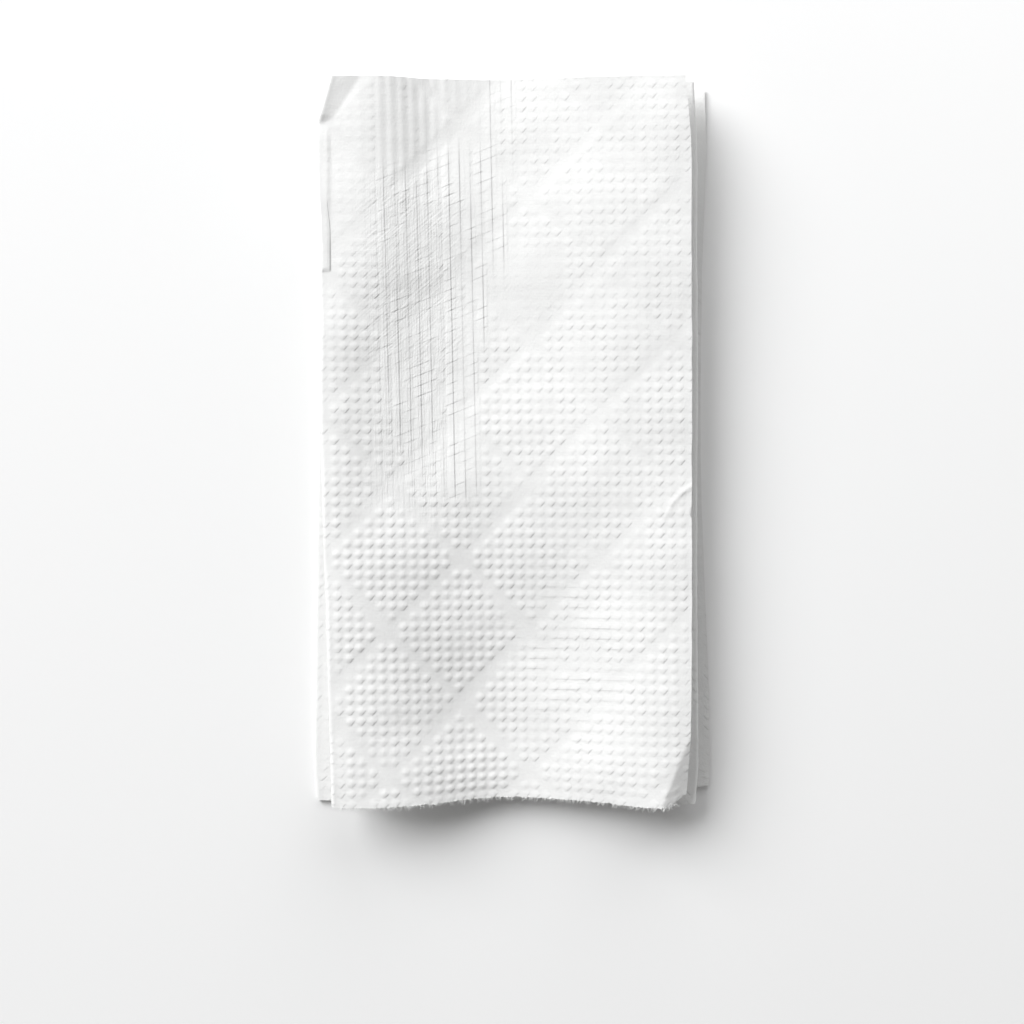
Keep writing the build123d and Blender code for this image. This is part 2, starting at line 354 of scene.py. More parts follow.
fold_spacing = 2 * fold_bend_radius + sheet_thickness
fold_outer_radius = fold_bend_radius + sheet_thickness
bottom_height = sheet_thickness / 2 - resting_depth
front_end = -towel_length / 2
back_end = towel_length / 2
half_width = max(lower_fold_reach, bottom_free_edge_reach)
slant = atan2(diamond_length, diamond_width)
band_spacing = diamond_width * sin(slant)


# ---- Smooth lines through the tables ----

def smooth_weights(shares, at, level_start=False, level_end=False):
    """How much of each table value a smooth curve through the table has at each place."""
    shares, at = np.array(shares, float), np.array(at, float)
    count = len(shares)
    run = np.diff(shares)
    slopes_of, values_of = np.zeros((count, count)), np.zeros((count, count))
    for i in range(1, count - 1):
        before, after = run[i - 1], run[i]
        slopes_of[i, i - 1:i + 2] = 1 / before, 2 / before + 2 / after, 1 / after
        values_of[i, i - 1:i + 2] = -3 / before**2, 3 / before**2 - 3 / after**2, 3 / after**2
    slopes_of[0, 0] = slopes_of[-1, -1] = 1
    if not level_start:
        values_of[0, :2] = -1 / run[0], 1 / run[0]
    if not level_end:
        values_of[-1, -2:] = -1 / run[-1], 1 / run[-1]
    slopes = np.linalg.solve(slopes_of, values_of)

    piece = np.clip(np.searchsorted(shares, at, side="right") - 1, 0, count - 2)
    width = run[piece][:, None]
    along = (at - shares[piece])[:, None] / width
    value = np.eye(count)
    return (
        (1 + 2 * along) * (1 - along) ** 2 * value[piece]
        + along * (1 - along) ** 2 * width * slopes[piece]
        + along**2 * (3 - 2 * along) * value[piece + 1]
        + along**2 * (along - 1) * width * slopes[piece + 1]
    )


def eased(share):
    """From 0 to 1 with a soft start and end."""
    share = np.clip(share, 0, 1)
    return share * share * (3 - 2 * share)


def uneven(across, along, patch, layer):
    """Smooth unevenness between about -1 and 1, in patches of a given size. Each layer has its own."""
    across, along = np.broadcast_arrays(across / patch, along / patch)
    values = [noise.noise(Vector((x, y, layer))) for x, y in zip(across.flat, along.flat)]
    return np.array(values).reshape(across.shape)


def in_oval(zone, across, along):
    """1 in the middle of an oval zone, and 0 outside it."""
    middle_across, middle_along, half_across, half_along, sharpness = zone
    away = np.hypot((across - middle_across) / half_across, (along - middle_along) / half_along)
    return eased(sharpness * (1 - away))


# ---- Embossing ----

def band_distances(across, along):
    """How far a place is from the middle of the nearest wide band, and of the nearest narrow one."""
    distances = []
    for way, *_ in bands:
        off = (across - lattice_shift_across) * sin(slant)
        off = off + way * (along - lattice_shift_along) * cos(slant)
        share = off / band_spacing - 0.5
        distances.append(np.abs(share - np.round(share)) * band_spacing)
    return distances


def quilted(across, along):
    """1 on the diamonds and 0 in the bands between them."""
    wide, narrow = band_distances(across, along)
    past = np.minimum(wide - wide_band / 2, narrow - narrow_band / 2)
    return eased(past / band_edge_width + 0.5)


def puffed(across, along):
    """1 in the middle of each diamond, and 0 along the bands."""
    wide, narrow = band_distances(across, along)
    return (np.sin(pi * wide / band_spacing) * np.sin(pi * narrow / band_spacing)) ** 2


def dot_cell(across, along):
    """The middle of the nearest dot, and its column."""
    column = np.round((across + column_lean * along - dot_shift_across) / dot_pitch_across)
    row = np.round((along - dot_shift_along) / dot_pitch_along)
    middle_along = row * dot_pitch_along + dot_shift_along
    middle_across = column * dot_pitch_across + dot_shift_across - column_lean * middle_along
    return middle_across, middle_along, column


def dot_relief(across, along, left, right):
    """Dots in rows and columns, each steeper on its right and front side, none in a band or margin."""
    middle_across, middle_along, column = dot_cell(across, along)
    off_across, off_along = across - middle_across, along - middle_along
    to_right, to_front = dot_steep_side
    lean = 1 + dot_lean * (to_right * off_across - to_front * off_along) / dot_radius
    dots = eased(1 - np.hypot(off_across, off_along) / dot_radius) * lean

    sides, side_strengths = zip(*dot_strength_sides)
    ends, end_strengths = zip(*dot_strength_ends)
    dots = dots * np.interp(across, sides, side_strengths) * np.interp(along, ends, end_strengths)
    dots = dots * (1 - row_line_flattening * in_oval(row_line_zone, middle_across, middle_along))
    dots = dots * (1 - faint_share * in_oval(faint_zone, middle_across, middle_along))

    on_right = eased(middle_across / right_side_start)
    distances = band_distances(middle_across, middle_along)
    for distance, (way, band, reach, more_on_right) in zip(distances, bands):
        dots = dots * eased(distance - band / 2 + reach + more_on_right * on_right)
    margin = side_margin_width - dot_margin_reach
    return dots * eased(middle_across - left - margin) * eased(right - margin - middle_across)


def rib_relief(across, along):
    """Ribs with a gentle left flank and a steep right one, broad ones at the back left."""
    share = (across + column_lean * along - dot_shift_across) / dot_pitch_across
    column = np.round(share)
    place = share - column
    broad = 1 - eased((across - broad_rib_side) / broad_rib_side_fade)
    broad = broad * eased((along - broad_rib_start) / broad_rib_start_fade)
    crest = rib_crest_place + broad_crest_shift * broad
    flank = rib_flank_width + broad_flank_width * broad
    rib = eased((place + 0.5) / (crest + 0.5)) * (1 - eased((place - crest) / flank))
    broad_height = broad_level + broad_unevenness * uneven(column, 0.0, rib_patch, 61.0)
    return rib * (rib_level + broad * broad_height)


def rib_strength(across, along):
    """How sharply each rib is creased: no two alike, and each of them uneven along its run."""
    middle_across, middle_along, column = dot_cell(across, along)
    sharpness = rib_crease_unevenness * uneven(column, along / rib_crease_length, rib_patch, 41.0)
    return np.clip(rib_crease_level + sharpness, rib_crease_least, 1)


def rib_zone(across, along):
    """1 where the dots are drawn out into ribs, and 0 elsewhere. Each rib has an end of its own."""
    middle, middle_along, column = dot_cell(across, along)
    wander = rib_end_wander * uneven(column, 0.0, rib_end_patch, 31.0)
    left = np.interp(along + wander, rib_zone_along, rib_zone_left)
    right = np.interp(along + wander, rib_zone_along, rib_zone_right)
    inside = eased((middle - left) / rib_zone_side_fade) * eased((right - middle) / rib_zone_side_fade)
    return inside * eased((along - rib_zone_front - wander) / rib_zone_fade)


def top_relief(across, along, left, right):
    """How far the top face stands above the plain sheet."""
    diamonds = quilted(across, along)
    diamonds = diamonds * eased((across - left) / side_margin_width)
    diamonds = diamonds * eased((right - across) / side_margin_width)
    ribs = rib_zone(across, along)
    strength = emboss_level + emboss_unevenness * uneven(across, along, emboss_patch, 3.0)
    relief = quilting_height * diamonds + puff_height * puffed(across, along)
    dots = dot_relief(across, along, left, right) * (1 - dots_lost_to_ribs * ribs)
    relief = relief + dot_height * dots * strength
    relief = relief + rib_height * ribs * diamonds * rib_relief(across, along) * strength
    relief = relief + dent_depth * uneven(across, along, dent_size, 5.0)
    relief = relief + dent_depth * small_dent_share * uneven(across, along, dent_size / 3, 7.0)
    relief = relief + loose_strip(across, along) + wrinkle_relief(across, along)
    relief = relief - soft_crease(across, along)
    at_front = eased((along - front_end) / front_relief_length)
    return relief * (front_relief_share + (1 - front_relief_share) * at_front)


def soft_crease(across, along):
    """The foot of the slope at the back left: the paper runs down to it, then turns level."""
    left, right = (crease_side - across) / crease_width, (across - crease_side) / crease_rise_width
    depth = np.where(across < crease_side, 1 - np.clip(left, 0, 1), 1 - eased(right))
    return crease_depth * depth * eased((along - crease_start) / crease_fade)


def loose_strip(across, along):
    """The raised strip of the upper ply: steep at its side and torn front end, fading to the back."""
    side = eased((loose_strip_side - across) / loose_strip_edge)
    front = eased((along - loose_strip_start) / loose_strip_edge)
    back = eased((loose_strip_end - along) / loose_strip_fade)
    return loose_strip_height * side * front * back


def wrinkle_relief(across, along):
    """The wrinkle's thin ridge, a little bowed."""
    (start_across, start_along), (end_across, end_along) = wrinkle
    length = hypot(end_across - start_across, end_along - start_along)
    toward = (end_across - start_across) / length, (end_along - start_along) / length
    down = (across - start_across) * toward[0] + (along - start_along) * toward[1]
    beside = (across - start_across) * toward[1] - (along - start_along) * toward[0]
    beside = beside - 4 * wrinkle_bow * (down / length) * (1 - down / length)
    ends = eased(1.3 - down / length) * eased(1 + down / 2)
    return wrinkle_height * np.exp(-(beside / wrinkle_width) ** 2) * ends


# ---- The folded sheet ----

top_heights = top_wave_height * np.array(top_wave_shares)
second_heights = np.hstack([
    top_heights[:, :1] - fold_spacing,
    second_wave_height * np.array(second_wave_shares),
])
third_heights = np.hstack([
    np.full((len(station_shares), 1), bottom_height + fold_spacing),
    third_wave_height * np.array(third_wave_shares),
    second_heights[:, -1:] - fold_spacing,
])
bottom_heights = bottom_height + bottom_edge_lift * np.outer(bottom_lift_shares, bottom_across_lift_shares)

fine_rows = np.linspace(0, 1, round(towel_length / fine_spacing) + 1)
fine_columns = np.linspace(0, 1, round((upper_fold_reach + top_free_edge_reach) / fine_spacing) + 1)
last_row = len(fine_rows) - 1
plain_rows = fine_rows[[
    *range(0, end_rows, end_row_step),
    *range(end_rows, last_row - end_rows, middle_row_step),
    *range(last_row - end_rows, last_row, end_row_step),
    last_row,
]]
plain_columns = 0.5 - 0.5 * np.cos(np.linspace(0, pi, plain_panel_columns + 1))


class Panels:
    """The middle of the sheet's four panels, at given rows and columns."""

    def __init__(self, rows, columns):
        to_rows = smooth_weights(station_shares, rows)
        along = front_end + rows * towel_length
        self.along = along[:, None]
        upper = fold_outer_radius - upper_fold_reach * to_rows @ upper_fold_shares
        lower = fold_outer_radius - lower_fold_reach * to_rows @ lower_fold_shares
        right = right_fold_reach * to_rows @ right_fold_shares - fold_outer_radius
        top_edge = top_free_edge_reach * to_rows @ top_free_edge_shares
        bottom_edge = bottom_free_edge_reach * to_rows @ bottom_free_edge_shares
        lines = [
            line + edge_wander * uneven(rows * towel_length, 0.0, edge_wander_length, 31 + i)
            for i, line in enumerate((upper, lower, right, top_edge, bottom_edge))
        ]
        upper, lower, right, top_edge, bottom_edge = lines
        drawn = (along - corner_draw_start) / (back_end - corner_draw_start)
        upper = upper + corner_draw * np.clip(drawn, 0, 1)
        free = smooth_weights(across_shares, columns, level_start=True).T
        held = smooth_weights(across_shares, columns, level_start=True, level_end=True).T
        self.top = self.spread(upper, top_edge, columns), to_rows @ top_heights @ free
        self.second = self.spread(upper, right, columns), to_rows @ second_heights @ held
        self.third = self.spread(lower, right, columns), to_rows @ third_heights @ held
        self.bottom = self.spread(lower, bottom_edge, columns), to_rows @ bottom_heights @ free

    def spread(self, left, right, columns):
        return left[:, None] + (right - left)[:, None] * columns


def face_of(panel, offset):
    """One face of a panel, moved square to its middle, upwards where offset is positive."""
    across, height = panel
    slope = np.gradient(height, axis=1) / np.gradient(across, axis=1)
    stretch = np.hypot(1, slope)
    return across - offset * slope / stretch, height + offset / stretch


def fold_round(upper, lower, edge, radius, outward):
    """The steps round one face of a fold, from the panel above it to the panel below."""
    turn = np.linspace(0, pi, fold_steps + 1)[1:-1]
    middle = (upper[1][:, edge] + lower[1][:, edge])[:, None] / 2
    return upper[0][:, edge][:, None] + outward * radius * np.sin(turn), middle + radius * np.cos(turn)


def backwards(face):
    return face[0][:, ::-1], face[1][:, ::-1]


def front_line(across, panel):
    """Where the front cut end lies. Panels are numbered 1 to 4 from the top, with folds between them."""
    to_line = smooth_weights(np.array(front_across_shares) * half_width, across.ravel())
    line = front_end_hollow * (to_line @ front_depth_shares).reshape(across.shape)
    tip = (across - (top_free_edge_reach - torn_tip_width)) / torn_tip_width * torn_tip_length
    skew = (across - skewed_end_start) / (half_width - skewed_end_start) * skewed_end_depth
    snip = 2 * (snipped_corner_size / 2 - half_width - across)
    line = np.where(panel == 1, np.maximum(line, tip), line)
    line = np.where(panel >= 3.5, np.maximum(line, skew), line)
    line = np.where(panel >= 2.5, np.maximum(line, snip), line)
    narrow_tooth, wide_tooth = tooth_widths
    teeth = uneven(across, 0.0, narrow_tooth, 11.0)
    teeth = teeth + wide_tooth_share * uneven(across, 0.0, wide_tooth, 17.0)
    return line + ragged_depth * teeth


def trimmed(across, along, panel):
    """Places along the sheet, drawn back to the cut ends."""
    near_front = np.clip(1 - (along - front_end) / end_fade, 0, 1) ** 2
    near_back = np.clip(1 - (back_end - along) / end_fade, 0, 1) ** 2
    wander = clean_cut_depth * uneven(across, 1.0, clean_cut_wave, 23.0)
    return along + near_front * front_line(across, panel) + near_back * wander


def turned_corner(points, crease, where):
    """Turns a corner up or down about its crease."""
    start, end, angle, bend, *tear = crease
    run = hypot(end[0] - start[0], end[1] - start[1])
    out = ((start[1] - end[1]) / run, (end[0] - start[0]) / run)
    if out[0] * start[0] + out[1] * start[1] < 0:
        out = (-out[0], -out[1])
    beyond = (points[..., 0] - start[0]) * out[0] + (points[..., 1] - start[1]) * out[1]
    beyond = np.where(where, np.maximum(beyond, 0), 0)
    if tear:
        tear_start, tear_length = tear
        beyond = beyond * eased((points[..., 1] - tear_start) / tear_length)
    steep = radians(abs(angle))
    turn = np.minimum(beyond / bend, steep)
    straight = beyond - bend * turn
    shift = bend * np.sin(turn) + straight * cos(steep) - beyond
    points[..., 0] += shift * out[0]
    points[..., 1] += shift * out[1]
    points[..., 2] += np.sign(angle) * (bend * (1 - np.cos(turn)) + straight * sin(steep))


def stitched(first, second, first_at, second_at):
    """Triangles between two lines of points that are spaced differently."""
    faces = []
    i = j = 0
    while i < len(first) - 1 or j < len(second) - 1:
        if j == len(second) - 1 or (i < len(first) - 1 and first_at[i + 1] <= second_at[j + 1]):
            faces.append((first[i], first[i + 1], second[j]))
            i += 1
        else:
            faces.append((first[i], second[j + 1], second[j]))
            j += 1
    return faces


def grid_faces(indices):
    corners = indices[:-1, :-1], indices[:-1, 1:], indices[1:, 1:], indices[1:, :-1]
    return np.stack([corner.ravel() for corner in corners], axis=1).tolist()


def embossed_face():
    """The closely spaced top face of the top panel, and its points' places on the sheet laid flat."""
    fine = Panels(fine_rows, fine_columns)
    flat_across = fine.top[0]
    along = np.broadcast_to(fine.along, flat_across.shape)
    relief = top_relief(flat_across, along, flat_across[:, :1], flat_across[:, -1:])
    across, height = face_of(fine.top, sheet_thickness / 2 + relief)
    near_edge = eased((across - across[:, -1:]) / nick_reach + 1)
    across = across - nick_depth * np.exp(-((along - nick_along) / nick_width) ** 2) * near_edge
    top = np.stack([across, trimmed(across, along, np.ones_like(across)), height], axis=-1)
    creased = rib_zone(flat_across, along) * rib_strength(flat_across, along)
    turned_corner(top, lifted_corner, True)
    turned_corner(top, bent_corner, True)
    return top, np.stack([flat_across, along, creased], axis=-1)


def plain_faces():
    """All other faces, in their order round the section, and their points' places on the sheet laid flat.

    The last two values are the columns in which the bottom and the top panel's free edges run.
    """
    half = sheet_thickness / 2
    plain = Panels(plain_rows, plain_columns)
    rim = [panel[0][:, -1:] - ply_gap_depth for panel in (plain.bottom, plain.top)]
    upper_side = [
        (1.5, fold_round(plain.top, plain.second, 0, fold_outer_radius, -1)),
        (2, face_of(plain.second, -half)),
        (2.5, fold_round(plain.second, plain.third, -1, fold_bend_radius, 1)),
        (3, backwards(face_of(plain.third, half))),
        (3.5, fold_round(plain.third, plain.bottom, 0, fold_outer_radius, -1)),
        (4, face_of(plain.bottom, -half)),
    ]
    lower_side = [
        (4, (rim[0], plain.bottom[1][:, -1:])),
        (4, backwards(face_of(plain.bottom, half))),
        (3.5, backwards(fold_round(plain.third, plain.bottom, 0, fold_bend_radius, -1))),
        (3, face_of(plain.third, -half)),
        (2.5, backwards(fold_round(plain.second, plain.third, -1, fold_outer_radius, 1))),
        (2, backwards(face_of(plain.second, half))),
        (1.5, backwards(fold_round(plain.top, plain.second, 0, fold_bend_radius, -1))),
        (1, face_of(plain.top, -half)),
        (1, (rim[1], plain.top[1][:, -1:])),
    ]
    faces = upper_side + lower_side
    panel = np.concatenate([np.full(face[0].shape, number) for number, face in faces], axis=1)
    across = np.concatenate([face[0] for number, face in faces], axis=1)
    height = np.concatenate([face[1] for number, face in faces], axis=1)
    along = np.broadcast_to(plain.along, across.shape)
    points = np.stack([across, trimmed(across, along, panel), np.maximum(height, 0)], axis=-1)
    bottom_rim = sum(face[0].shape[1] for number, face in upper_side)
    top_rim = across.shape[1] - 1

    # How far they are along the sheet from the fold at the left of the top panel
    steps = np.hypot(np.diff(across[:, :bottom_rim]), np.diff(height[:, :bottom_rim]))
    run = np.hstack([np.zeros((len(plain_rows), 1)), np.cumsum(steps, axis=1)])
    flat_across = across.copy()
    flat_across[:, :bottom_rim] = plain.top[0][:, :1] - run
    flat_across[:, bottom_rim] = flat_across[:, bottom_rim - 1]
    flat_across[:, bottom_rim + 1:2 * bottom_rim + 1] = flat_across[:, bottom_rim - 1::-1]
    flat = np.stack([flat_across, along, np.zeros_like(across)], axis=-1)

    turned_corner(points, lifted_corner, panel <= 2)
    turned_corner(points, bent_corner, panel == 1)
    return points, flat, bottom_rim, top_rim


def sheet_mesh():
    """The closed mesh of the sheet, and each point's place on the sheet laid flat."""
    top, flat_top = embossed_face()
    rest, flat_rest, bottom_rim, top_rim = plain_faces()
    top_at = np.arange(top.shape[0] * top.shape[1]).reshape(top.shape[:2])
    rest_at = top_at.size + np.arange(rest.shape[0] * rest.shape[1]).reshape(rest.shape[:2])
    points = [top.reshape(-1, 3), rest.reshape(-1, 3)]
    flats = [flat_top.reshape(-1, 3), flat_rest.reshape(-1, 3)]
    polygons = grid_faces(top_at) + grid_faces(rest_at)

    # Both cut ends: the two plies' edges with a fine gap between them
    count = top_at.size + rest_at.size
    beyond_top = 1 + np.arange(bottom_rim)
    upper_run = np.concatenate([1 - fine_columns[::-1], beyond_top])
    lower_run = np.concatenate([1 - plain_columns[::-1], beyond_top])
    for row, inward in ((0, 1), (-1, -1)):
        upper = np.concatenate([top_at[row, ::-1], rest_at[row, :bottom_rim]])
        lower = rest_at[row, bottom_rim + 1:top_rim][::-1]
        upper_points = np.concatenate([top[row, ::-1], rest[row, :bottom_rim]])
        lower_points = rest[row, bottom_rim + 1:top_rim][::-1]
        below = [np.interp(upper_run, lower_run, lower_points[:, i]) for i in range(3)]
        between = (upper_points + np.stack(below, axis=1)) / 2 + (0, inward * ply_gap_depth, 0)
        middle = count + np.arange(len(upper)) - 1
        middle[0], middle[-1] = rest_at[row, top_rim], rest_at[row, bottom_rim]
        points.append(between[1:-1])
        flats.append(np.concatenate([flat_top[row, ::-1], flat_rest[row, :bottom_rim]])[1:-1])
        count += len(between) - 2
        polygons += grid_faces(np.stack([upper, middle]))
        polygons += stitched(middle.tolist(), lower.tolist(), upper_run, lower_run)

    # The embossed face is joined to its fold and to its free edge
    polygons += stitched(top_at[:, 0].tolist(), rest_at[:, 0].tolist(), fine_rows, plain_rows)
    polygons += stitched(top_at[:, -1].tolist(), rest_at[:, top_rim].tolist(), fine_rows, plain_rows)
    return np.concatenate(points), polygons, np.concatenate(flats)


def made_object(name, points, polygons):
    """A new object from points in metres, with all its faces turned outwards."""
    mesh = bpy.data.meshes.new(name)
    mesh.from_pydata(points, [], polygons)
    made = bpy.data.objects.new(name, mesh)
    bpy.context.collection.objects.link(made)
    bpy.ops.object.select_all(action="DESELECT")
    made.select_set(True)
    bpy.context.view_layer.objects.active = made
    bpy.ops.object.mode_set(mode="EDIT")
    bpy.ops.mesh.select_all(action="SELECT")
    bpy.ops.mesh.normals_make_consistent(inside=False)
    bpy.ops.object.mode_set(mode="OBJECT")
    return made


def folded_towel():
    points, polygons, flat = sheet_mesh()
    towel = made_object("folded_sheet", (points * MM).tolist(), polygons)
    place = towel.data.attributes.new("flat_place", "FLOAT_VECTOR", "POINT")
    place.data.foreach_set("vector", flat.astype(np.float32).ravel())
    for name, zone in (("row_lines", row_line_zone), ("faintness", faint_zone)):
        strength = towel.data.attributes.new(name, "FLOAT", "POINT")
        strength.data.foreach_set("value", in_oval(zone, flat[:, 0], flat[:, 1]).astype(np.float32))
    bpy.ops.object.shade_smooth_by_angle(angle=radians(smooth_angle))
    return towel


def loose_fibres():
    """Short hairs of pulp that stand out from the torn front end of the top panel."""
    draw = random.Random(fibre_seed)
    section = Panels(np.zeros(1), fine_columns)
    edge_across, edge_height = section.top[0][0], section.top[1][0]
    points, polygons = [], []
    for number in range(fibre_count):
        across = draw.uniform(edge_across[fibre_first_column], fibre_last_share * edge_across[-1])
        start = trimmed(np.array([across]), np.array([front_end]), np.ones(1))[0] + fibre_root_depth
        height = float(np.interp(across, edge_across, edge_height)) + draw.uniform(*fibre_root_heights)
        length, heading = draw.uniform(*fibre_lengths), draw.gauss(0, fibre_heading_spread)
        curl, rise = draw.uniform(*fibre_curls), draw.uniform(*fibre_rises)
        here = Vector((across, start, height))
        first = len(points)
        for step in range(fibre_steps + 1):
            share = step / fibre_steps
            toward = Vector((sin(heading + curl * share), -cos(heading + curl * share), rise * share))
            reach = fibre_width * (1 - fibre_taper * share) / 2
            side = Vector((toward.y, -toward.x, 0)).normalized() * reach
            points += [here - side, here + side, here + Vector((0, 0, 1.5 * reach))]
            here = here + toward * (length / fibre_steps)
        for step in range(fibre_steps):
            low = first + 3 * step
            for i in range(3):
                j = (i + 1) % 3
                polygons.append((low + i, low + j, low + 3 + j, low + 3 + i))
        last = first + 3 * fibre_steps
        polygons += [(first, first + 2, first + 1), (last, last + 1, last + 2)]
    return made_object("loose_fibres", [point * MM for point in points], polygons)


# ---- Materials ----

class Recipe:
    """A material or a world being put together, node by node."""

    def __init__(self, owner):
        owner.use_nodes = True
        self.owner = owner
        self.nodes, self.links = owner.node_tree.nodes, owner.node_tree.links

    def node(self, kind, **settings):
        made = self.nodes.new(kind)
        for name, value in settings.items():
            setattr(made, name, value)
        return made

    def join(self, value, socket):
        """Links a node's output to a socket, or writes a plain value there."""
        if isinstance(value, bpy.types.NodeSocket):
            self.links.new(value, socket)
        else:
            socket.default_value = value

    def attribute(self, name, output):
        return self.node("ShaderNodeAttribute", attribute_name=name).outputs[output]

    def maths(self, operation, *values):
        made = self.node("ShaderNodeMath", operation=operation)
        for value, socket in zip(values, made.inputs):
            self.join(value, socket)
        return made.outputs[0]

    def times(self, value, *others):
        for other in others:
            value = self.maths("MULTIPLY", value, other)
        return value

    def minus(self, value, other):
        return self.maths("SUBTRACT", value, other)

    def times_plus(self, value, factor, more):
        return self.maths("MULTIPLY_ADD", value, factor, more)

    def ease(self, value, start, end):
        """From 0 where the value is at the start to 1 at the end, softly."""
        made = self.node("ShaderNodeMapRange", interpolation_type="SMOOTHSTEP")
        self.join(value, made.inputs["Value"])
        made.inputs["From Min"].default_value = start
        made.inputs["From Max"].default_value = end
        return made.outputs["Result"]

    def drops(self, value, width):
        """A slope that rises over each whole step of the value, and drops in the last part of it."""
        share = self.maths("FRACT", value)
        rise = self.maths("DIVIDE", share, 1 - width)
        return self.maths("MINIMUM", rise, self.maths("DIVIDE", self.minus(1.0, share), width))

    def noise(self, place, scale, detail, roughness=0.5, stretch=(1, 1, 1)):
        mapping = self.node("ShaderNodeMapping")
        mapping.inputs["Scale"].default_value = stretch
        self.join(place, mapping.inputs["Vector"])
        made = self.node("ShaderNodeTexNoise")
        self.join(mapping.outputs["Vector"], made.inputs["Vector"])
        made.inputs["Scale"].default_value = scale
        made.inputs["Detail"].default_value = detail
        made.inputs["Roughness"].default_value = roughness
        return made.outputs["Fac"]

    def mix(self, share, first, second):
        """A colour that is the first where share is 0, and the second where it is 1."""
        made = self.node("ShaderNodeMix", data_type="RGBA")
        for name, value in (("Factor", share), ("A", first), ("B", second)):
            self.join(value, made.inputs[name])
        return made.outputs["Result"]

    def bumps(self, marks):
        """Heights pressed into the surface one over the other, each with its depth in millimetres."""
        normal = None
        for height, depth in marks:
            made = self.node("ShaderNodeBump")
            made.inputs["Distance"].default_value = depth * MM
            self.join(height, made.inputs["Height"])
            if normal is not None:
                self.join(normal, made.inputs["Normal"])
            normal = made.outputs["Normal"]
        return normal

    def seen_straight(self):
        """1 for what the camera sees, straight or in a mirror or glass, and 0 for what only gives light."""
        path = self.node("ShaderNodeLightPath")
        seen = self.maths("MAXIMUM", path.outputs["Is Camera Ray"], path.outputs["Is Glossy Ray"])
        return self.maths("MAXIMUM", seen, path.outputs["Is Transmission Ray"])

    def finish(self, colour, roughness, gloss):
        shader = self.nodes["Principled BSDF"]
        self.join(colour, shader.inputs["Base Color"])
        shader.inputs["Roughness"].default_value = roughness
        shader.inputs["Specular IOR Level"].default_value = gloss
        return shader


